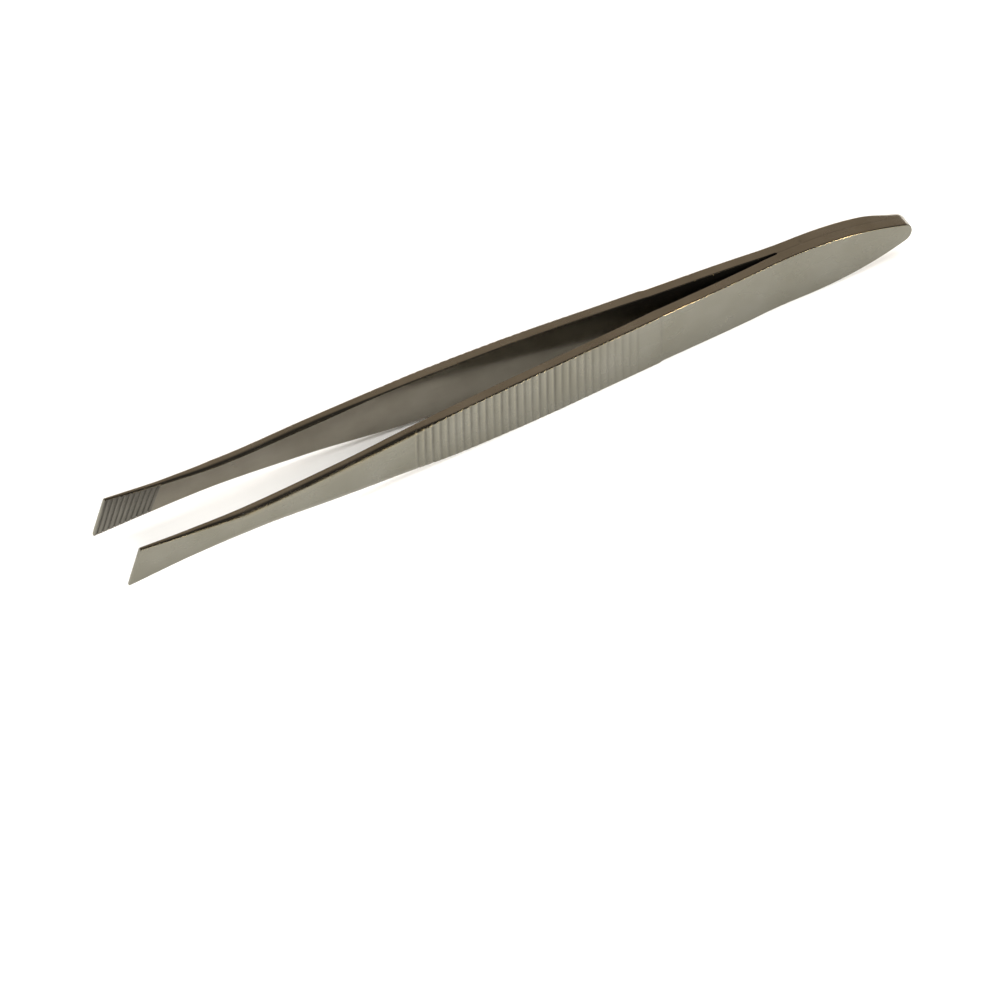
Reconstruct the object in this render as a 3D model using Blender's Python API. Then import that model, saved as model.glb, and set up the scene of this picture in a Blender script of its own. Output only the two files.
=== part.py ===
"""Slant tweezers: two stamped and plated steel leaves, spot-welded together at the tail.

The pair lies on its long edges. X runs along the length with the tail at +X and the tips at -X,
Y runs across the opening, and Z runs up across the width of the leaves. The origin is under the
middle of the pair, on the surface that it lies on.

All lengths below are in millimetres. "station" is a distance from the tail end along the pair.
Each leaf is one springy strip. It is cut once, just ahead of the welds, into a tail that is held
and an arm that swings, and the cut is the flexure line that the arm's hinge axis lies on.
"""
import math

import bmesh
import bpy

MM = 0.001

# Overall sizes
LENGTH = 88.9
SHEET = 1.10
SEAM = 0.10
GRIP_HALF = 3.2

# Outline of a leaf blank, as half widths
NOSE_LENGTH = 12.8
NOSE_RADIUS = 1.2
NOSE_STEPS = 5
NOSE_START_DEG = 12.0
FLANK_STEPS = 12
GRIP_END = 41.0
WIDTH_POINTS = ((GRIP_END, GRIP_HALF), (46.0, 3.14), (56.0, 2.77), (66.0, 2.07), (75.0, 1.50),
                (82.5, 1.69), (LENGTH, 2.20))

# Set of the arms: the inner face's distance from the mid-plane
GAP_START = 14.8
STATION_LINE = 29.1
ROOT_POINTS = ((GAP_START, SEAM / 2), (20.5, 0.48), (26.0, 0.78), (STATION_LINE, 0.94))
SET_POINTS = ((STATION_LINE, 0.94), (33.0, 1.26), (41.0, 1.79), (52.0, 2.34), (64.0, 2.84), (74.0, 3.00))

# Ground tips
TAPER_START = 76.0
TIP_THICKNESS = 0.42
PAD_LENGTH = 6.0
SLANT_RUN = 1.45
SLANT_START = 79.0

# Flexure line and closing motion
FLEX_STATION = 15.4
FLEX_SLIT = 0.30
CLOSE_DEG = 2.75
CLOSED_CLEARANCE = 0.02

# Spot welds, hidden between the tails
WELD_STATIONS = {"spot_weld_rear": 5.6, "spot_weld_front": 11.2}
WELD_RADIUS = 1.2
WELD_HALF_HEIGHT = 0.45
WELD_CLEARANCE = 0.10
WELD_SIDES = 32

EDGE_BREAK = 0.14
FLAT_DEG = 0.1
STATION_STEP = 1.5

# Worked out from the sizes above: the long arc of the tail's outline, the station where the
# nose's own arc runs into it, and the flexure line's distance from the mid-plane
FLANK_RADIUS = (((NOSE_LENGTH - NOSE_RADIUS) ** 2 + GRIP_HALF**2 - NOSE_RADIUS**2)
                / (2 * (GRIP_HALF - NOSE_RADIUS)))
NOSE_END = NOSE_RADIUS * (1 - (NOSE_LENGTH - NOSE_RADIUS) / (FLANK_RADIUS - NOSE_RADIUS))
FLEX_OFFSET = SEAM / 2 + SHEET / 2


def clear_scene():
    for thing in list(bpy.data.objects):
        bpy.data.objects.remove(thing, do_unlink=True)


def metal(name, colour, roughness):
    material = bpy.data.materials.new(name)
    material.use_nodes = True
    shader = material.node_tree.nodes["Principled BSDF"]
    shader.inputs["Base Color"].default_value = (*colour, 1.0)
    shader.inputs["Metallic"].default_value = 1.0
    shader.inputs["Roughness"].default_value = roughness
    return material


def through_points(points, at):
    """A smooth curve through the points: cubic spans, each with the slope of its neighbours."""
    last = len(points) - 1

    def slope(i):
        before, after = points[max(i - 1, 0)], points[min(i + 1, last)]
        return (after[1] - before[1]) / (after[0] - before[0])

    span = 0
    while span < last - 1 and at > points[span + 1][0]:
        span += 1
    (x0, y0), (x1, y1) = points[span], points[span + 1]
    width = x1 - x0
    t = (at - x0) / width
    rise = (y1 - y0) * (3 * t**2 - 2 * t**3)
    leave = slope(span) * width * (t**3 - 2 * t**2 + t)
    arrive = slope(span + 1) * width * (t**3 - t**2)
    return y0 + rise + leave + arrive


def half_width(station):
    """Half the width of the leaf: a rounded nose, long flank arcs, a straight grip, a waist, a tip."""
    if station < NOSE_END:
        blunt = NOSE_RADIUS * (1 - math.cos(math.radians(NOSE_START_DEG)))
        return math.sqrt(NOSE_RADIUS**2 - (NOSE_RADIUS - max(station, blunt)) ** 2)
    if station < NOSE_LENGTH:
        return GRIP_HALF - FLANK_RADIUS + math.sqrt(FLANK_RADIUS**2 - (NOSE_LENGTH - station) ** 2)
    if station < GRIP_END:
        return GRIP_HALF
    return through_points(WIDTH_POINTS, station)


def pad_offset(station):
    """The ground pad: flat, and parallel to the mid-plane when the arm has closed."""
    angle = math.radians(CLOSE_DEG)
    lean = (CLOSED_CLEARANCE - FLEX_OFFSET) / math.cos(angle)
    return FLEX_OFFSET + lean + (station - FLEX_STATION) * math.tan(angle)


def inner_offset(station):
    """Distance of the leaf's inner face from the mid-plane between the two leaves."""
    if station <= GAP_START:
        return SEAM / 2
    if station < STATION_LINE:
        return through_points(ROOT_POINTS, station)
    pad_start = LENGTH - PAD_LENGTH
    if station >= pad_start:
        return pad_offset(station)
    return through_points((*SET_POINTS, (pad_start, pad_offset(pad_start))), station)


def thickness(station):
    """Full sheet up to the taper, then ground down on the outside to the tip."""
    return SHEET - (SHEET - TIP_THICKNESS) * max(station - TAPER_START, 0.0) / (LENGTH - TAPER_START)


def slanted(station, across):
    """Station of a point on the sheared tip: across is -1 at the long edge and +1 at the short."""
    share = max(station - SLANT_START, 0.0) / (LENGTH - SLANT_START)
    return station - SLANT_RUN * share * (across + 1.0) / 2.0


def nose_stations():
    """Stations round the nose's arc, and then along the flank, closer together near the nose."""
    end = math.acos(1 - NOSE_END / NOSE_RADIUS)
    start = math.radians(NOSE_START_DEG)
    turns = [start + (end - start) * i / NOSE_STEPS for i in range(1, NOSE_STEPS + 1)]
    nose = [NOSE_RADIUS * (1 - math.cos(a)) for a in turns]
    flank = [NOSE_END + (NOSE_LENGTH - NOSE_END) * (i / FLANK_STEPS) ** 1.3 for i in range(1, FLANK_STEPS + 1)]
    return [0.0, *nose, *flank]


def even_stations(start, end):
    count = max(1, math.ceil((end - start) / STATION_STEP))
    return [start + (end - start) * i / count for i in range(1, count + 1)]


def strip(name, stations, side, origin):
    """A piece of one leaf: its blank laid out flat, extruded to a sheet, then set to shape."""
    mesh = bpy.data.meshes.new(name)
    bm = bmesh.new()
    rows = []
    for station in stations:
        half = half_width(station)
        rows.append([bm.verts.new((station, 0.0, z)) for z in (-half, half)])
    for row, following in zip(rows, rows[1:]):
        bm.faces.new((row[0], row[1], following[1], following[0]))
    sheet = bmesh.ops.extrude_face_region(bm, geom=list(bm.faces))
    outer = [v for v in sheet["geom"] if isinstance(v, bmesh.types.BMVert)]
    for vert in outer:
        vert.co.y = 1.0
    for vert in bm.verts:
        station, depth, z = vert.co
        across = z / half_width(station)
        vert.co.x = (LENGTH / 2 - slanted(station, across)) * MM
        vert.co.y = side * (inner_offset(station) + depth * thickness(station)) * MM
        vert.co.z = (z + GRIP_HALF) * MM
    bmesh.ops.recalc_face_normals(bm, faces=bm.faces)
    bmesh.ops.dissolve_limit(bm, angle_limit=math.radians(FLAT_DEG), verts=bm.verts, edges=bm.edges)
    bmesh.ops.translate(bm, verts=bm.verts, vec=[-c for c in origin])
    bm.to_mesh(mesh)
    bm.free()
    piece = bpy.data.objects.new(name, mesh)
    piece.location = origin
    bpy.context.collection.objects.link(piece)
    bevel = piece.modifiers.new("broken_edges", "BEVEL")
    bevel.width = EDGE_BREAK * MM
    bevel.segments = 1
    bevel.limit_method = "ANGLE"
    bevel.angle_limit = math.radians(50)
    return piece


def disc(name, station, radius, half_height):
    """A round disc across the seam, its axis along Y."""
    mesh = bpy.data.meshes.new(name)
    bm = bmesh.new()
    bmesh.ops.create_cone(bm, cap_ends=True, segments=WELD_SIDES, radius1=radius * MM,
                          radius2=radius * MM, depth=2 * half_height * MM)
    bm.to_mesh(mesh)
    bm.free()
    mesh.shade_smooth()
    mesh.set_sharp_from_angle(angle=math.radians(40))
    piece = bpy.data.objects.new(name, mesh)
    piece.location = ((LENGTH / 2 - station) * MM, 0.0, GRIP_HALF * MM)
    piece.rotation_euler = (math.radians(90), 0.0, 0.0)
    bpy.context.collection.objects.link(piece)
    return piece


def cut_pocket(leaf, cutter):
    cut = leaf.modifiers.new("weld_pocket", "BOOLEAN")
    cut.operation = "DIFFERENCE"
    cut.solver = "EXACT"
    cut.object = cutter


def hinge_origin(side):
    return ((LENGTH / 2 - FLEX_STATION) * MM, side * FLEX_OFFSET * MM, GRIP_HALF * MM)


def build_leaf(name, side, finish, pockets):
    """One stamped leaf, as the welded tail and the springing arm on either side of its flexure."""
    cut_tail = FLEX_STATION - FLEX_SLIT / 2
    cut_arm = FLEX_STATION + FLEX_SLIT / 2
    tail_stations = nose_stations() + even_stations(NOSE_LENGTH, GAP_START) + [cut_tail]
    tail = strip(f"{name}_leaf_tail", tail_stations, side, (0.0, 0.0, 0.0))
    for pocket in pockets:
        cut_pocket(tail, pocket)
    arm_stations = [cut_arm, *even_stations(cut_arm, STATION_LINE),
                    *even_stations(STATION_LINE, GRIP_END), *even_stations(GRIP_END, TAPER_START),
                    *even_stations(TAPER_START, LENGTH - PAD_LENGTH),
                    *even_stations(LENGTH - PAD_LENGTH, LENGTH)]
    arm = strip(f"{name}_arm", arm_stations, side, hinge_origin(side))
    for piece in (tail, arm):
        piece.data.materials.append(finish)


def build_welds():
    """The weld nuggets, and the pockets in the leaves' inner faces that each of them fills."""
    fused = metal("fused_steel", (0.42, 0.40, 0.37), 0.55)
    pockets = []
    for name, station in WELD_STATIONS.items():
        nugget = disc(name, station, WELD_RADIUS, WELD_HALF_HEIGHT)
        nugget.data.materials.append(fused)
        pocket = disc(f"{name}_pocket", station, WELD_RADIUS + WELD_CLEARANCE,
                      WELD_HALF_HEIGHT + WELD_CLEARANCE)
        pocket.hide_render = True
        pocket.display_type = "WIRE"
        pockets.append(pocket)
    return pockets


def main():
    clear_scene()
    pockets = build_welds()
    build_leaf("left", -1.0, metal("left_leaf_plate", (0.62, 0.60, 0.55), 0.30), pockets)
    build_leaf("right", 1.0, metal("right_leaf_plate", (0.60, 0.58, 0.53), 0.30), pockets)


main()
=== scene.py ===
"""Slant tweezers: the finished look of two plated steel leaves welded at the tail.

Each leaf is one unbroken piece here. It replaces the tail node and the arm node of its side.
Lengths are in millimetres up to the point where a vertex is made. "Station" is the distance
from the tail end, along the pair.
"""
import math

import bmesh
import bpy
from mathutils import Matrix, Vector

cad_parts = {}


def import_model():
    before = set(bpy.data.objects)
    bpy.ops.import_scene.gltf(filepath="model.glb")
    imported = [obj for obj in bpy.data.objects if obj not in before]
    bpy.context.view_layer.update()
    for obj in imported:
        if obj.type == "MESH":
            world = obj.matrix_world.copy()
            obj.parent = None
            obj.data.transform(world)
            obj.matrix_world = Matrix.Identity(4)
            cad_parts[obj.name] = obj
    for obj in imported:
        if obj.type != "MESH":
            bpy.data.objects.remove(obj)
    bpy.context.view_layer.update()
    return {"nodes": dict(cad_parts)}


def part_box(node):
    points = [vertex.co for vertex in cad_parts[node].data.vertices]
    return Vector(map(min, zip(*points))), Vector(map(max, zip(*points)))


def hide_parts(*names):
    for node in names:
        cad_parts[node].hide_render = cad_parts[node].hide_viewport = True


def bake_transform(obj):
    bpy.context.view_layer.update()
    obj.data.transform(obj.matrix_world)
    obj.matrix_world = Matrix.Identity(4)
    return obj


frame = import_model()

MM = 0.001

# Overall sizes. SEAM is where the root curve starts, and SEAM_HALF is where the tails' faces lie
LENGTH = 88.9
TAIL_X = LENGTH / 2
GRIP_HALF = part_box("left_leaf_tail")[1].z / MM / 2
SHEET = 1.10
SEAM = 0.05
SEAM_HALF = 0.003

# Outline of the leaf, as half widths
NOSE_RADIUS = 1.2
NOSE_LENGTH = 12.8
NOSE_EASE = {-1.0: 0.06, 1.0: 0.62}
GRIP_END = 41.0
COINED_SPREAD = 0.05
WIDTH_POINTS = ((GRIP_END, GRIP_HALF), (46.0, 3.14), (56.0, 2.77), (66.0, 2.07), (75.0, 1.50),
                (82.5, 1.69), (LENGTH, 2.20))

# Set of the arms
GAP_START = 14.8
STATION_LINE = 29.1
ROOT_POINTS = ((GAP_START, SEAM), (20.5, 0.48), (26.0, 0.78), (STATION_LINE, 0.94))
ROOT_EASE = 2.0
ROOT_LIFT = 0.08
SET_SLOPE = 0.0754
SET_POINTS = ((STATION_LINE, 0.94), (33.0, 1.26), (41.0, 1.79), (52.0, 2.34), (64.0, 2.84), (74.0, 3.00))
FLEX_STATION = 15.4
FLEX_OFFSET = 0.60
CLOSE_DEG = 2.75
CLOSED_CLEARANCE = 0.02

# Hand rounding of the long edges towards the tips, which differs between the two leaves
OUTER_ROUND = {-1.0: 0.40, 1.0: 0.16}
INNER_ROUND = {-1.0: 0.12, 1.0: 0.30}

# Ground tips
TAPER_START = 76.0
TIP_THICKNESS = 0.42
PAD_LENGTH = 6.0
SLANT_RUN = 1.45
SLANT_START = 74.0
SLANT_FULL = 82.5

# Finger ribs on the outer faces
RIB_FIRST = 31.9
RIB_COUNT = 30
RIB_PITCH = 0.87
RIB_DEPTH = 0.075
RIB_WIDTH = 0.175

# Serrations on the pads
TOOTH_COUNT = 10
TOOTH_PITCH = 0.59
TOOTH_DEPTH = 0.13
TOOTH_WIDTH = 0.30
TOOTH_INSET = 0.35

# Step on the outer face at the station line
STEP_HEIGHT = 0.07
STEP_RUN = 0.30
STEP_FADE = 6.0

# Pit left in the plating over the weld seam
PIT_STATION = 12.1
PIT_RADIUS = 0.26
PIT_DEPTH = 0.10

# Mesh density
FACE_SHARES = (1.0, 0.97, 0.65, 0.32, 0.0, -0.32, -0.65, -0.97, -1.0)
RIB_SHARES = (-0.5, -0.34, -0.22, -0.14, -0.07, 0.0, 0.07, 0.14, 0.22, 0.34)
TOOTH_SHARES = (-0.5, -0.38, -0.27, -0.13, 0.0, 0.13, 0.27, 0.38)
ARC_STEPS = 5
EDGE_STEPS = 5
END_ROUND = 0.05

# Room round each weld nugget in its hollow
WELD_CLEARANCE = 0.1

# Colours of the painted shade, of the dirt specks and of the two low lights
PAINTED_SHADE_COLOUR = (0.055, 0.050, 0.042, 1.0)
SPECK = (0.16, 0.14, 0.11, 1.0)
GLINT = (1.0, 0.80, 0.50)


def ramp(value, low, high):
    t = min(max((value - low) / (high - low), 0.0), 1.0)
    return t * t * (3.0 - 2.0 * t)


def through_points(points, at):
    """A smooth curve through the points: cubic spans, each with the slope of its neighbours."""
    last = len(points) - 1

    def slope(i):
        before, after = points[max(i - 1, 0)], points[min(i + 1, last)]
        return (after[1] - before[1]) / (after[0] - before[0])

    span = 0
    while span < last - 1 and at > points[span + 1][0]:
        span += 1
    (x0, y0), (x1, y1) = points[span], points[span + 1]
    width = x1 - x0
    t = (at - x0) / width
    rise = (y1 - y0) * (3 * t**2 - 2 * t**3)
    leave = slope(span) * width * (t**3 - 2 * t**2 + t)
    arrive = slope(span + 1) * width * (t**3 - t**2)
    return y0 + rise + leave + arrive


# Outline ----------------------------------------------------------------------------------------

FLANK_RADIUS = (((NOSE_LENGTH - NOSE_RADIUS) ** 2 + GRIP_HALF**2 - NOSE_RADIUS**2)
                / (2 * (GRIP_HALF - NOSE_RADIUS)))
NOSE_END = NOSE_RADIUS * (1 - (NOSE_LENGTH - NOSE_RADIUS) / (FLANK_RADIUS - NOSE_RADIUS))


def half_width(station):
    """A rounded nose, two long arcs, a straight grip, a waist and a wide tip."""
    if station < NOSE_END:
        return math.sqrt(max(NOSE_RADIUS**2 - (NOSE_RADIUS - station) ** 2, 0.0))
    coined = COINED_SPREAD * (1 - ramp(station, STATION_LINE - 0.5, STATION_LINE + 0.4))
    if station < NOSE_LENGTH:
        flank = math.sqrt(FLANK_RADIUS**2 - (NOSE_LENGTH - station) ** 2)
        return flank + GRIP_HALF - FLANK_RADIUS - coined * ramp(station, 6.0, NOSE_LENGTH)
    if station < GRIP_END:
        return GRIP_HALF - coined
    return through_points(WIDTH_POINTS, station)


def outline_normal(station):
    """Inward direction (along the length, across the width) of the upper outline."""
    if station < NOSE_END:
        return (NOSE_RADIUS - station) / NOSE_RADIUS, -half_width(station) / NOSE_RADIUS
    step = 0.02
    low, high = max(station - step, 0.002), min(station + step, LENGTH)
    rise = half_width(high) - half_width(low)
    run = high - low
    size = math.hypot(rise, run)
    return rise / size, -run / size


def slanted(station, across):
    share = ramp(station, SLANT_START, SLANT_FULL)
    return station - SLANT_RUN * share * (across + 1.0) / 2.0


# Section ----------------------------------------------------------------------------------------

def pad_offset(station):
    angle = math.radians(CLOSE_DEG)
    lean = (CLOSED_CLEARANCE - FLEX_OFFSET) / math.cos(angle)
    return FLEX_OFFSET + lean + (station - FLEX_STATION) * math.tan(angle)


def inner_offset(station):
    """Distance of the inner face from the mid-plane. The gap opens abruptly, with a blunt root."""
    if station <= GAP_START:
        return SEAM_HALF
    if station < STATION_LINE:
        blunt = ramp(station, GAP_START, GAP_START + 0.25)
        lift = ROOT_LIFT * (1 - ramp(station, GAP_START, GAP_START + ROOT_EASE))
        return SEAM_HALF + blunt * (through_points(ROOT_POINTS, station) + lift - SEAM_HALF)
    pad_start = LENGTH - PAD_LENGTH
    if station >= pad_start:
        return pad_offset(station)
    return through_points((*SET_POINTS, (pad_start, pad_offset(pad_start))), station)


def outer_offset(station):
    """Distance of the outer face from the mid-plane: it eases into the arm's set round the root."""
    if station < GAP_START - ROOT_EASE:
        return SHEET + SEAM
    if station < GAP_START + ROOT_EASE:
        into = station - GAP_START + ROOT_EASE
        return SHEET + SEAM + SET_SLOPE * into**2 / (4 * ROOT_EASE)
    return inner_offset(station) + SHEET


def thickness(station):
    ground = (SHEET - TIP_THICKNESS) * max(station - TAPER_START, 0.0) / (LENGTH - TAPER_START)
    return outer_offset(station) - inner_offset(station) - ground


def outer_radius(station, thick, side):
    """Rounding of the outer long edges: small at the grip, broad past the ribs, soft at the nose."""
    broad = 0.06 * ramp(station, 29.4, 31.0) + OUTER_ROUND[side] * ramp(station, 52.0, 60.0)
    soft = NOSE_EASE[side] * (1 - ramp(station, 0.9, 5.0))
    return min(0.12 + broad, 0.48 * thick) + soft


def outer_drop(station, side):
    """How much further the outer round runs down the face than across the edge."""
    return 0.9 * OUTER_ROUND[side] * ramp(station, 53.0, 61.0) * (1 - ramp(station, 74.0, 87.0))


def inner_radius(station, thick, side):
    """Rounding of the inner long edges: nearly square at the welds, broad towards the tips."""
    opened = 0.09 * ramp(station, GAP_START, GAP_START + 3.0)
    rounded = 0.012 + opened + INNER_ROUND[side] * ramp(station, 56.0, 66.0)
    return min(rounded, 0.36 * thick)


def rib_place(station):
    """The nearest rib groove and how far the station is from it in pitches, or None off the ribs."""
    place = (station - RIB_FIRST) / RIB_PITCH
    nearest = round(place)
    if nearest < 0 or nearest > RIB_COUNT - 1:
        return None
    return nearest, place - nearest


def rib_strength(rib):
    """The ribs begin faintly, and no two are pressed quite alike."""
    uneven = 0.82 + 0.18 * math.sin(2.4 * rib) * math.cos(5.1 * rib)
    return uneven * (0.35 + 0.65 * ramp(rib, 0.0, 12.0))


def rib_depth(station):
    """Depth of the rib grooves pressed into the outer face."""
    near = rib_place(station)
    if near is None:
        return 0.0
    return RIB_DEPTH * rib_strength(near[0]) * math.exp(-((near[1] / RIB_WIDTH) ** 2))


def rib_highlight(station):
    """The brighter side of each rib: a painted highlight."""
    near = rib_place(station)
    if near is None:
        return 0.0
    return 0.3 * rib_strength(near[0]) * math.exp(-(((near[1] - 0.36) / 0.13) ** 2))


def step_height(station):
    """The outer face stands proud just ahead of the station line, and sinks back."""
    rise = ramp(station, STATION_LINE - STEP_RUN, STATION_LINE + STEP_RUN)
    return STEP_HEIGHT * rise * (1 - ramp(station, STATION_LINE + STEP_RUN, STATION_LINE + STEP_FADE))


def tooth_depth(station):
    """Depth of the serrations cut across the pad, one after another from the tip."""
    place = (LENGTH - TOOTH_INSET - station) / TOOTH_PITCH
    nearest = round(place)
    if nearest < 0 or nearest > TOOTH_COUNT - 1:
        return 0.0
    away = abs(place - nearest) / TOOTH_WIDTH
    return TOOTH_DEPTH * max(0.0, 1.0 - away)


def glint_stretches(station):
    """Where the outer top edge is painted with a golden glint: beside the nose and behind the
    station line, faintly elsewhere. Its roughness drops there too, so the low lamps glint on it.
    """
    nose = ramp(station, 4.5, 5.5) * (1 - ramp(station, 9.0, 11.0))
    grip = ramp(station, 23.0, 25.5) * (1 - ramp(station, 29.3, 29.7))
    return 0.08 + 0.92 * max(nose, grip)


def fade_to_lower_edge(share):
    """The painted shade in the grooves and the painted rib highlights fade towards the lower long edge.
    """
    return 0.45 + 0.55 * ramp(share, -1.0, 0.4)


def section(station, side, inset=0.0):
    """One ring of the leaf as (station, depth, height, wear and painted glint, painted shade),
    from the outer face's top edge down the outer face, round under the lower edge, up the inner face
    and over the upper edge."""
    half = half_width(station)
    thick = thickness(station) + step_height(station)
    outer = outer_radius(station, thick, side)
    drop = outer_drop(station, side)
    inner = inner_radius(station, thick, side)
    normal = outline_normal(station)
    rib = rib_depth(station)
    tooth = tooth_depth(station)
    # Painted shade: a dark line along the station line, and darkening in the rib grooves
    line = 0.3 * math.exp(-(((station - STATION_LINE) / 0.15) ** 2))
    pressed = max(rib / RIB_DEPTH, line)
    top = thick - inset
    bottom = inset

    def rim(offset, depth, sign, wear_and_glint, painted_shade):
        move = offset + inset
        return (station + normal[0] * move, depth, sign * (half + normal[1] * move), wear_and_glint, painted_shade)

    def face(radius, depth, wear_and_glint, painted_shade):
        edge = rim(radius, depth, 1, wear_and_glint, painted_shade)
        return [(edge[0], depth, edge[2] * share, wear_and_glint * fade_to_lower_edge(share), painted_shade * fade_to_lower_edge(share))
                for share in FACE_SHARES]

    def arc(radius, fall, centre, towards, sign, upward, wear_and_glint, painted_shade):
        ring = []
        for i in range(1, ARC_STEPS):
            angle = math.radians(90 * i / ARC_STEPS)
            if not upward:
                angle = math.radians(90) - angle
            offset = fall * (1 - math.cos(angle))
            depth = centre + towards * radius * math.sin(angle)
            ring.append(rim(offset, depth, sign, wear_and_glint, painted_shade))
        return ring

    # The long edges and their rounds carry a little of the wear mark: a faint painted golden glint along
    # them, along with edge wear.
    def edge(start, end, sign):
        return [rim(0.0, start + (end - start) * i / EDGE_STEPS, sign, 0.1, 0.0)
                for i in range(EDGE_STEPS + 1)]

    shoulder = top - outer - rib * 0.4
    inward = bottom + inner
    ring = face(outer + drop, top - rib, rib_highlight(station), pressed)
    ring += arc(outer, outer + drop, shoulder, 1, -1, False, 0.1, pressed * 0.3)
    ring += edge(shoulder, inward, -1)
    ring += arc(inner, inner, inward, -1, -1, True, 0.1, 0.0)
    # Painted shade on the inner face: darker towards its upper edge from station 50 towards the tips,
    # and dark in the serrations.
    shade = 0.55 * ramp(station, 50.0, 72.0)
    ring += [(s, d, z, 0.0, max(tooth / TOOTH_DEPTH, shade * ramp(z / half, -0.6, 0.9)))
             for s, d, z, _, _ in reversed(face(inner, bottom + tooth, 0.0, 0.0))]
    # Painted glint: a bright band of the wear mark along the inner edge at the root of the gap.
    root = 0.1 + 0.8 * math.exp(-(((station - GAP_START - 0.2) / 0.3) ** 2))
    ring += arc(inner, inner, inward, -1, 1, False, root, 0.0)
    ring += edge(inward, shoulder, 1)
    ring += arc(outer, outer + drop, shoulder, 1, 1, True, glint_stretches(station), pressed * 0.5)
    return ring


# Stations ---------------------------------------------------------------------------------------

def spread(start, end, step):
    count = max(1, math.ceil((end - start) / step - 1e-9))
    return [start + (end - start) * i / count for i in range(count)]


def stations():
    """Where the rings stand: close together wherever the leaf has fine detail."""
    nose = [NOSE_RADIUS * (1 - math.cos(math.radians(a))) for a in range(3, 72, 6)]
    rows = [s for s in nose if s < NOSE_END - 0.03]
    rows += spread(NOSE_END, PIT_STATION - 0.4, 0.45)
    rows += spread(PIT_STATION - 0.4, PIT_STATION + 0.4, 0.08)
    rows += spread(PIT_STATION + 0.4, GAP_START - 0.4, 0.4)
    rows += spread(GAP_START - 0.4, GAP_START + 0.4, 0.05)
    rows += spread(GAP_START + 0.4, STATION_LINE - 0.6, 0.4)
    rows += spread(STATION_LINE - 0.6, STATION_LINE + 0.6, 0.08)
    rows += spread(STATION_LINE + 0.6, RIB_FIRST - RIB_PITCH / 2, 0.25)
    for rib in range(RIB_COUNT):
        centre = RIB_FIRST + rib * RIB_PITCH
        rows += [centre + RIB_PITCH * f for f in RIB_SHARES]
    ribs_end = RIB_FIRST + (RIB_COUNT - 0.5) * RIB_PITCH
    teeth_start = LENGTH - TOOTH_INSET - (TOOTH_COUNT - 0.5) * TOOTH_PITCH
    rows += spread(ribs_end, teeth_start, 0.4)
    for tooth in reversed(range(TOOTH_COUNT)):
        centre = LENGTH - TOOTH_INSET - tooth * TOOTH_PITCH
        rows += [centre + TOOTH_PITCH * f for f in TOOTH_SHARES]
    return rows


def end_rings():
    """The last rings, which round the slanted end over onto its flat."""
    last = []
    for degrees in (0, 30, 60, 90):
        angle = math.radians(degrees)
        last.append((LENGTH - END_ROUND * (1 - math.sin(angle)), END_ROUND * (1 - math.cos(angle))))
    return last


# Mesh -------------------------------------------------------------------------------------------

def pit(station, depth, height, side):
    """How far the pit in the weld seam sinks a point of the upper edge."""
    across = depth + SEAM_HALF
    away = math.hypot(station - PIT_STATION, across - 0.12 * side) / PIT_RADIUS
    if height < 0 or away >= 1.0:
        return 0.0
    return PIT_DEPTH * (1 - away * away) ** 2


def place(point, side):
    """A section point in metres: the set of the arm and the slant of the tip are applied here."""
    station, depth, height = point[:3]
    half = half_width(min(max(station, 0.01), LENGTH))
    across = max(-1.0, min(1.0, height / half))
    height -= pit(station, depth, height, side)
    x = TAIL_X - slanted(station, across)
    y = side * (inner_offset(station) + depth)
    return Vector((x, y, height + GRIP_HALF)) * MM


def chains(ring):
    """The ring's outer face row, lower edge, inner face row and upper edge."""
    count = len(FACE_SHARES)
    rounds = 2 * (ARC_STEPS - 1) + EDGE_STEPS + 1
    return (ring[:count], ring[count:count + rounds], ring[count + rounds:2 * count + rounds],
            ring[2 * count + rounds:])


def close_tip(bm, ring):
    """Closes the ground end: quads between the two faces, and a fan over each edge."""
    outer, lower, inner, upper = chains(ring)
    inner = list(reversed(inner))
    for i in range(len(outer) - 1):
        bm.faces.new((outer[i], outer[i + 1], inner[i + 1], inner[i]))
    bm.faces.new([outer[-1], *lower, inner[-1]])
    bm.faces.new([inner[0], *upper, outer[0]])


def close_nose(bm, ring):
    """Closes the nose: the upper and lower edges meet round its end."""
    outer, lower, inner, upper = chains(ring)
    upper = list(reversed(upper))
    for i in range(len(lower) - 1):
        bm.faces.new((upper[i], upper[i + 1], lower[i + 1], lower[i]))
    bm.faces.new([*outer, lower[0], upper[0]])
    bm.faces.new([*inner, upper[-1], lower[-1]])


def leaf_mesh(name, side):
    mesh = bpy.data.meshes.new(name)
    bm = bmesh.new()
    where = bm.verts.layers.float_vector.new("leaf_place")
    wear_and_glint = bm.verts.layers.float.new("edge_wear_and_glint")
    painted_shade = bm.verts.layers.float.new("painted_shade")
    rings = [section(s, side) for s in stations()]
    rings += [section(s, side, inset) for s, inset in end_rings()]
    made = []
    for points in rings:
        row = []
        for point in points:
            vert = bm.verts.new(place(point, side))
            vert[where] = Vector((point[0], point[2], point[1] * side))
            vert[wear_and_glint] = point[3]
            vert[painted_shade] = point[4]
            row.append(vert)
        made.append(row)
    for row, following in zip(made, made[1:]):
        count = len(row)
        for i in range(count):
            k = (i + 1) % count
            bm.faces.new((row[i], row[k], following[k], following[i]))
    close_nose(bm, made[0])
    close_tip(bm, made[-1])
    bmesh.ops.recalc_face_normals(bm, faces=bm.faces)
    zones(bm, where, side)
    bm.to_mesh(mesh)
    bm.free()
    return mesh


PLATE, INNER, EDGE, PAD = range(4)


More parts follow.
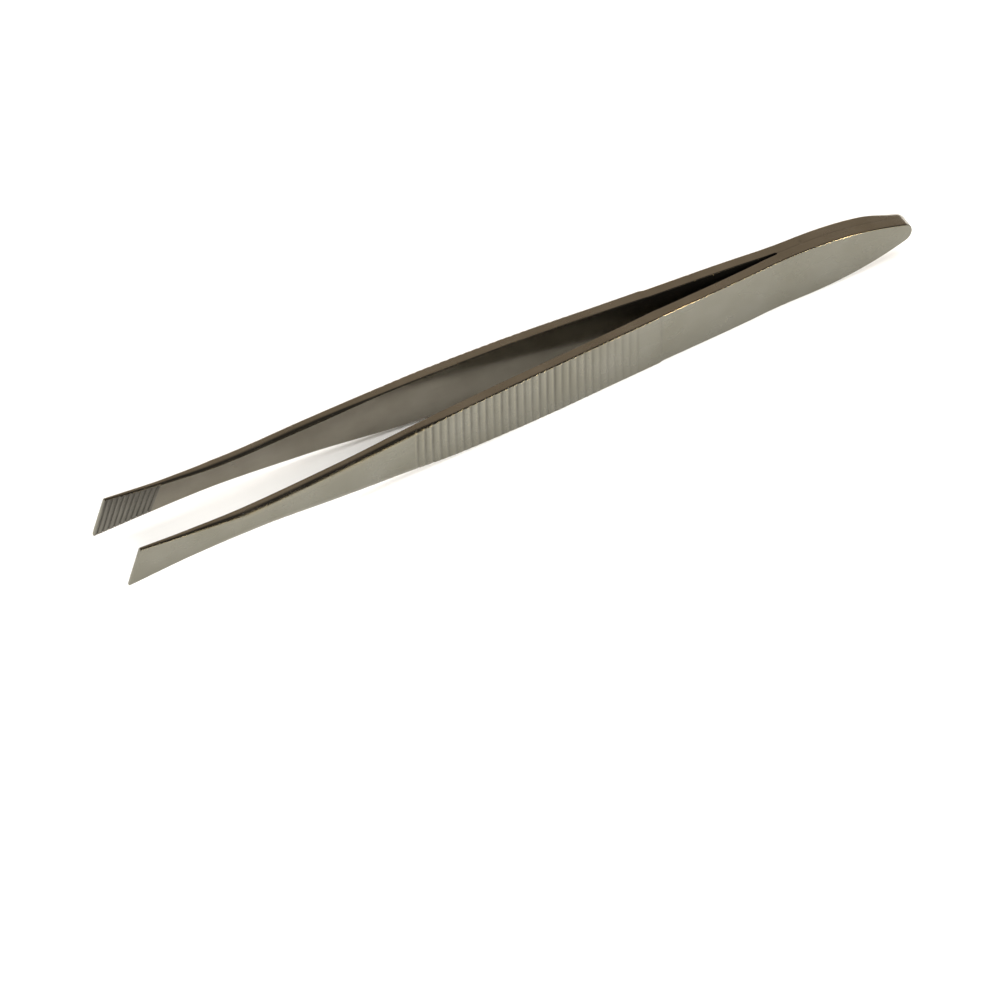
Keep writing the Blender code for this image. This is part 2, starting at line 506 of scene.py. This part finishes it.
def zones(bm, where, side):
    """Gives each face its finish: plate outside and inside, linished edges, and ground pads."""
    pad_from = LENGTH - TOOTH_INSET - (TOOTH_COUNT - 0.3) * TOOTH_PITCH
    for face in bm.faces:
        face.smooth = True
        middle = sum((v[where] for v in face.verts), Vector()) / len(face.verts)
        inward = -face.normal.y * side
        if abs(face.normal.z) > 0.75:
            face.material_index = EDGE
        elif inward > 0.3:
            face.material_index = PAD if middle.x > pad_from else INNER
        else:
            face.material_index = PLATE


# Materials --------------------------------------------------------------------------------------

class Nodes:
    """Short calls for building a node tree."""

    def __init__(self, material):
        material.use_nodes = True
        self.tree = material.node_tree
        self.tree.nodes.clear()

    def add(self, kind, settings=None, **inputs):
        node = self.tree.nodes.new(kind)
        for name, value in (settings or {}).items():
            setattr(node, name, value)
        for name, value in inputs.items():
            self.feed(node.inputs[name.replace("_", " ")], value)
        return node

    def feed(self, socket, value):
        if isinstance(value, bpy.types.NodeSocket):
            self.tree.links.new(value, socket)
        else:
            socket.default_value = value

    def math(self, operation, first, second=0.0):
        node = self.tree.nodes.new("ShaderNodeMath")
        node.operation = operation
        self.feed(node.inputs[0], first)
        self.feed(node.inputs[1], second)
        return node.outputs[0]

    def mix(self, share, first, second):
        node = self.tree.nodes.new("ShaderNodeMix")
        node.data_type = "RGBA"
        self.feed(node.inputs[0], share)
        self.feed(node.inputs[6], first)
        self.feed(node.inputs[7], second)
        return node.outputs[2]

    def spans(self, value, low, high, to_low, to_high):
        node = self.add("ShaderNodeMapRange", {"clamp": True}, Value=value)
        limits = {"From Min": low, "From Max": high, "To Min": to_low, "To Max": to_high}
        for name, number in limits.items():
            node.inputs[name].default_value = number
        return node.outputs[0]

    def stretched(self, place, scale):
        """The leaf's own coordinates in millimetres, multiplied axis by axis."""
        node = self.add("ShaderNodeVectorMath", {"operation": "MULTIPLY"})
        self.feed(node.inputs[0], place)
        node.inputs[1].default_value = scale
        return node.outputs[0]

    def noise(self, place, scale, detail=4.0, roughness=0.55):
        node = self.add("ShaderNodeTexNoise", Vector=place, Scale=scale, Detail=detail,
                        Roughness=roughness)
        return node.outputs["Fac"]


def steel(name, tint, dark_tint, glint_and_wear_tint, rough, lines, grain, shade_strength, bare=1.0):
    """Nickel plate over steel. lines is the (scale, bump) of the polishing lines in millimetres,
    grain the bump height of the orange-peel left by tumbling, shade_strength how dark the painted
    shade in the grooves and on the upper inner faces is, and bare how much of the metal shows
    through the film of dust."""
    material = bpy.data.materials.new(name)
    n = Nodes(material)
    place = n.add("ShaderNodeAttribute", {"attribute_name": "leaf_place"}).outputs["Vector"]
    wear_and_glint = n.add("ShaderNodeAttribute", {"attribute_name": "edge_wear_and_glint"}).outputs["Fac"]
    painted_shade = n.add("ShaderNodeAttribute", {"attribute_name": "painted_shade"}).outputs["Fac"]
    line_scale, line_bump = lines
    drawn = n.noise(n.stretched(place, line_scale), 1.0, 3.0, 0.6)
    cloud = n.noise(place, 0.16, 3.0)
    smudge = n.noise(n.stretched(place, (0.5, 1.0, 1.0)), 0.5, 2.0, 0.5)
    peel = n.noise(place, 5.0, 2.0)
    specks = n.add("ShaderNodeTexVoronoi", Vector=place, Scale=1.3).outputs["Distance"]
    speck = n.spans(specks, 0.02, 0.06, 1.0, 0.0)

    colour = n.mix(n.spans(cloud, 0.35, 0.68, 0.0, 1.0), dark_tint, tint)
    colour = n.mix(n.spans(smudge, 0.5, 0.8, 0.0, 0.2), colour, dark_tint)
    colour = n.mix(n.spans(drawn, 0.35, 0.65, 0.0, 0.22), colour, dark_tint)
    # Painted highlight: the wear mark lightens the colour towards the golden tint. It paints glints on
    # the edges, at the gap root and on the rib crests, along with edge wear.
    colour = n.mix(n.math("MULTIPLY", wear_and_glint, 0.8), colour, glint_and_wear_tint)
    # Painted shade: the shade mark darkens the colour in the rib grooves and serrations, along the
    # station line and on the upper inner faces.
    colour = n.mix(n.math("MULTIPLY", painted_shade, shade_strength), colour, PAINTED_SHADE_COLOUR)
    colour = n.mix(n.math("MULTIPLY", speck, 0.3), colour, SPECK)

    uneven = n.spans(smudge, 0.3, 0.75, -0.04, 0.06)
    roughness = n.math("ADD", uneven, rough)
    roughness = n.math("SUBTRACT", roughness, n.spans(wear_and_glint, 0.3, 0.9, 0.0, 0.14))
    roughness = n.math("ADD", roughness, n.math("MULTIPLY", painted_shade, 0.18))

    height = n.math("ADD", n.math("MULTIPLY", drawn, line_bump), n.math("MULTIPLY", peel, grain))
    bump = n.add("ShaderNodeBump", Height=height)
    bump.inputs["Strength"].default_value = 1.0
    bump.inputs["Distance"].default_value = MM

    shader = n.add("ShaderNodeBsdfPrincipled")
    n.feed(shader.inputs["Base Color"], colour)
    n.feed(shader.inputs["Roughness"], roughness)
    n.feed(shader.inputs["Normal"], bump.outputs[0])
    shader.inputs["Metallic"].default_value = bare
    output = n.add("ShaderNodeOutputMaterial")
    n.feed(output.inputs["Surface"], shader.outputs[0])
    return material


def steels():
    plate = steel("nickel_plate", (0.200, 0.194, 0.163, 1.0), (0.172, 0.165, 0.132, 1.0),
                  (0.42, 0.38, 0.28, 1.0), 0.27, ((0.35, 9.0, 9.0), 0.0003), 0.00015, 0.50)
    # The inner plate is the same nickel plate with a lighter tint and a little diffuse: painted light
    # that lifts the inner faces and the dark gap root.
    inner = steel("nickel_plate_inner_lightened", (0.245, 0.225, 0.184, 1.0), (0.18, 0.163, 0.128, 1.0),
                  (0.40, 0.36, 0.28, 1.0), 0.15, ((0.30, 7.0, 7.0), 0.00025), 0.0002, 0.8, 0.98)
    edge = steel("linished_edge", (0.56, 0.53, 0.485, 1.0), (0.42, 0.39, 0.345, 1.0),
                 (0.80, 0.66, 0.42, 1.0), 0.24, ((0.25, 14.0, 14.0), 0.0008), 0.0003, 0.3)
    pad = steel("ground_pad", (0.19, 0.18, 0.155, 1.0), (0.135, 0.128, 0.11, 1.0),
                (0.30, 0.27, 0.22, 1.0), 0.28, ((12.0, 0.6, 1.0), 0.0006), 0.0002, 0.85)
    return [plate, inner, edge, pad]


def fused_steel():
    """The bare, heat-darkened steel of the weld nuggets."""
    material = bpy.data.materials.new("fused_steel_bare")
    n = Nodes(material)
    place = n.add("ShaderNodeTexCoord").outputs["Object"]
    place = n.stretched(place, (1 / MM, 1 / MM, 1 / MM))
    grain = n.noise(place, 2.5, 6.0, 0.65)
    scale = n.noise(place, 0.6, 3.0)
    colour = n.mix(n.spans(scale, 0.35, 0.65, 0.0, 1.0), (0.30, 0.27, 0.24, 1.0),
                   (0.42, 0.40, 0.37, 1.0))
    colour = n.mix(n.spans(grain, 0.5, 0.8, 0.0, 0.6), colour, (0.20, 0.17, 0.16, 1.0))
    bump = n.add("ShaderNodeBump", Height=n.math("MULTIPLY", grain, 0.02))
    bump.inputs["Distance"].default_value = MM
    shader = n.add("ShaderNodeBsdfPrincipled")
    n.feed(shader.inputs["Base Color"], colour)
    n.feed(shader.inputs["Roughness"], n.spans(grain, 0.3, 0.7, 0.42, 0.68))
    n.feed(shader.inputs["Normal"], bump.outputs[0])
    shader.inputs["Metallic"].default_value = 1.0
    output = n.add("ShaderNodeOutputMaterial")
    n.feed(output.inputs["Surface"], shader.outputs[0])
    return material


# Pieces -----------------------------------------------------------------------------------------

def weld_hollow(node):
    """A cutter for the hollow that a weld nugget fills, a little larger than the nugget."""
    low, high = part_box(node)
    centre = (low + high) / 2
    mesh = bpy.data.meshes.new("hollow")
    bm = bmesh.new()
    radius = (high.x - low.x) / 2 + WELD_CLEARANCE * MM
    bmesh.ops.create_cone(bm, cap_ends=True, segments=48, radius1=radius, radius2=radius,
                          depth=(high.y - low.y) + 2 * WELD_CLEARANCE * MM)
    bmesh.ops.transform(bm, verts=bm.verts, matrix=Matrix.Translation(centre) @ Matrix.Rotation(
        math.radians(90), 4, "X"))
    bm.to_mesh(mesh)
    bm.free()
    cutter = bpy.data.objects.new("hollow", mesh)
    bpy.context.scene.collection.objects.link(cutter)
    return cutter


def hollowed(leaf, nodes):
    """Cuts the weld hollows out of the leaf and keeps the result as its mesh."""
    cutters = [weld_hollow(node) for node in nodes]
    for cutter in cutters:
        cut = leaf.modifiers.new("hollow", "BOOLEAN")
        cut.operation = "DIFFERENCE"
        cut.solver = "EXACT"
        cut.object = cutter
    graph = bpy.context.evaluated_depsgraph_get()
    mesh = bpy.data.meshes.new_from_object(leaf.evaluated_get(graph), depsgraph=graph)
    leaf.modifiers.clear()
    leaf.data = mesh
    for cutter in cutters:
        bpy.data.objects.remove(cutter)


def build_leaf(name, side, materials):
    mesh = leaf_mesh(f"{name}_leaf", side)
    leaf = bpy.data.objects.new(f"{name}_leaf", mesh)
    bpy.context.scene.collection.objects.link(leaf)
    for material in materials:
        mesh.materials.append(material)
    hollowed(leaf, ("spot_weld_rear", "spot_weld_front"))
    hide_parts(f"{name}_leaf_tail", f"{name}_arm")
    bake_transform(leaf)
    return leaf


def dress_welds():
    material = fused_steel()
    for node in ("spot_weld_rear", "spot_weld_front"):
        weld = frame["nodes"][node]
        weld.data.materials.clear()
        weld.data.materials.append(material)


# Studio -----------------------------------------------------------------------------------------

def floor():
    mesh = bpy.data.meshes.new("floor")
    bm = bmesh.new()
    bmesh.ops.create_grid(bm, x_segments=8, y_segments=8, size=4.0)
    bmesh.ops.translate(bm, verts=bm.verts, vec=(0.0, 0.0, -0.02 * MM))
    bm.to_mesh(mesh)
    bm.free()
    sheet = bpy.data.objects.new("floor", mesh)
    bpy.context.scene.collection.objects.link(sheet)
    material = bpy.data.materials.new("pale_floor")
    n = Nodes(material)
    shader = n.add("ShaderNodeBsdfPrincipled")
    shader.inputs["Base Color"].default_value = (0.86, 0.86, 0.855, 1.0)
    shader.inputs["Roughness"].default_value = 0.9
    output = n.add("ShaderNodeOutputMaterial")
    n.feed(output.inputs["Surface"], shader.outputs[0])
    mesh.materials.append(material)


def world():
    """A dim warm studio: a pale horizon, dark in front of the object and warmer behind it."""
    surroundings = bpy.data.worlds.new("studio")
    bpy.context.scene.world = surroundings
    surroundings.use_nodes = True
    n = Nodes(surroundings)
    direction = n.add("ShaderNodeTexCoord").outputs["Generated"]
    parts = n.add("ShaderNodeSeparateXYZ", Vector=direction)
    height = parts.outputs["Z"]
    depth = parts.outputs["Y"]
    behind = n.spans(depth, -0.25, 0.6, 0.0, 1.0)
    upper = n.mix(behind, (0.035, 0.033, 0.030, 1.0), (0.27, 0.225, 0.17, 1.0))
    low = n.spans(height, 0.02, 0.20, 1.0, 0.0)
    colour = n.mix(low, upper, (0.46, 0.44, 0.40, 1.0))
    background = n.add("ShaderNodeBackground", Color=colour, Strength=1.0)
    output = n.add("ShaderNodeOutputWorld")
    n.feed(output.inputs["Surface"], background.outputs[0])


def softbox(name, spot, target, size, watts, colour, glossy):
    light = bpy.data.lights.new(name, "AREA")
    light.shape = "RECTANGLE"
    light.size, light.size_y = size
    light.energy = watts
    light.color = colour
    lamp = bpy.data.objects.new(name, light)
    lamp.location = spot
    lamp.rotation_mode = "QUATERNION"
    lamp.rotation_quaternion = (Vector(target) - Vector(spot)).to_track_quat("-Z", "Y")
    lamp.visible_glossy = glossy
    bpy.context.scene.collection.objects.link(lamp)


def lights():
    softbox("overhead", (0.0, 0.1, 0.9), (0, 0, 0), (1.1, 1.1), 14.0, (1.0, 0.985, 0.96), False)
    softbox("front_key", (-0.25, -0.8, 0.6), (0, 0, 0), (0.7, 0.5), 15.0, (1.0, 0.98, 0.95), False)
    softbox("grip_glint", (0.262, -0.544, 0.054), (0.017, 0, 0), (0.035, 0.035), 0.30, GLINT, True)
    softbox("nose_glint", (0.321, -0.524, 0.060), (0.037, 0, 0), (0.05, 0.035), 0.40, GLINT, True)


CAMERA_AZIMUTH = -27.93
CAMERA_ELEVATION = 46.53
CAMERA_ROLL = -1.14
CAMERA_DISTANCE = 916.7
CAMERA_AIM = (-8.9, -13.3, 3.2)
CAMERA_LENS = 341.7


def camera():
    data = bpy.data.cameras.new("camera")
    data.sensor_width = 36.0
    data.lens = CAMERA_LENS
    data.clip_start, data.clip_end = 0.01, 20.0
    shot = bpy.data.objects.new("camera", data)
    a, e = math.radians(CAMERA_AZIMUTH), math.radians(CAMERA_ELEVATION)
    back = Vector((math.sin(a) * math.cos(e), -math.cos(a) * math.cos(e), math.sin(e)))
    aim = Vector(CAMERA_AIM) * MM
    shot.rotation_mode = "QUATERNION"
    shot.rotation_quaternion = ((-back).to_track_quat("-Z", "Y").to_matrix()
                                @ Matrix.Rotation(math.radians(CAMERA_ROLL), 3, "Z")).to_quaternion()
    shot.location = aim + back * CAMERA_DISTANCE * MM
    bpy.context.scene.collection.objects.link(shot)
    bpy.context.scene.camera = shot


def main():
    materials = steels()
    build_leaf("left", -1.0, materials)
    build_leaf("right", 1.0, materials)
    dress_welds()
    floor()
    world()
    lights()
    camera()
    bpy.context.scene.view_settings.view_transform = "Standard"


main()
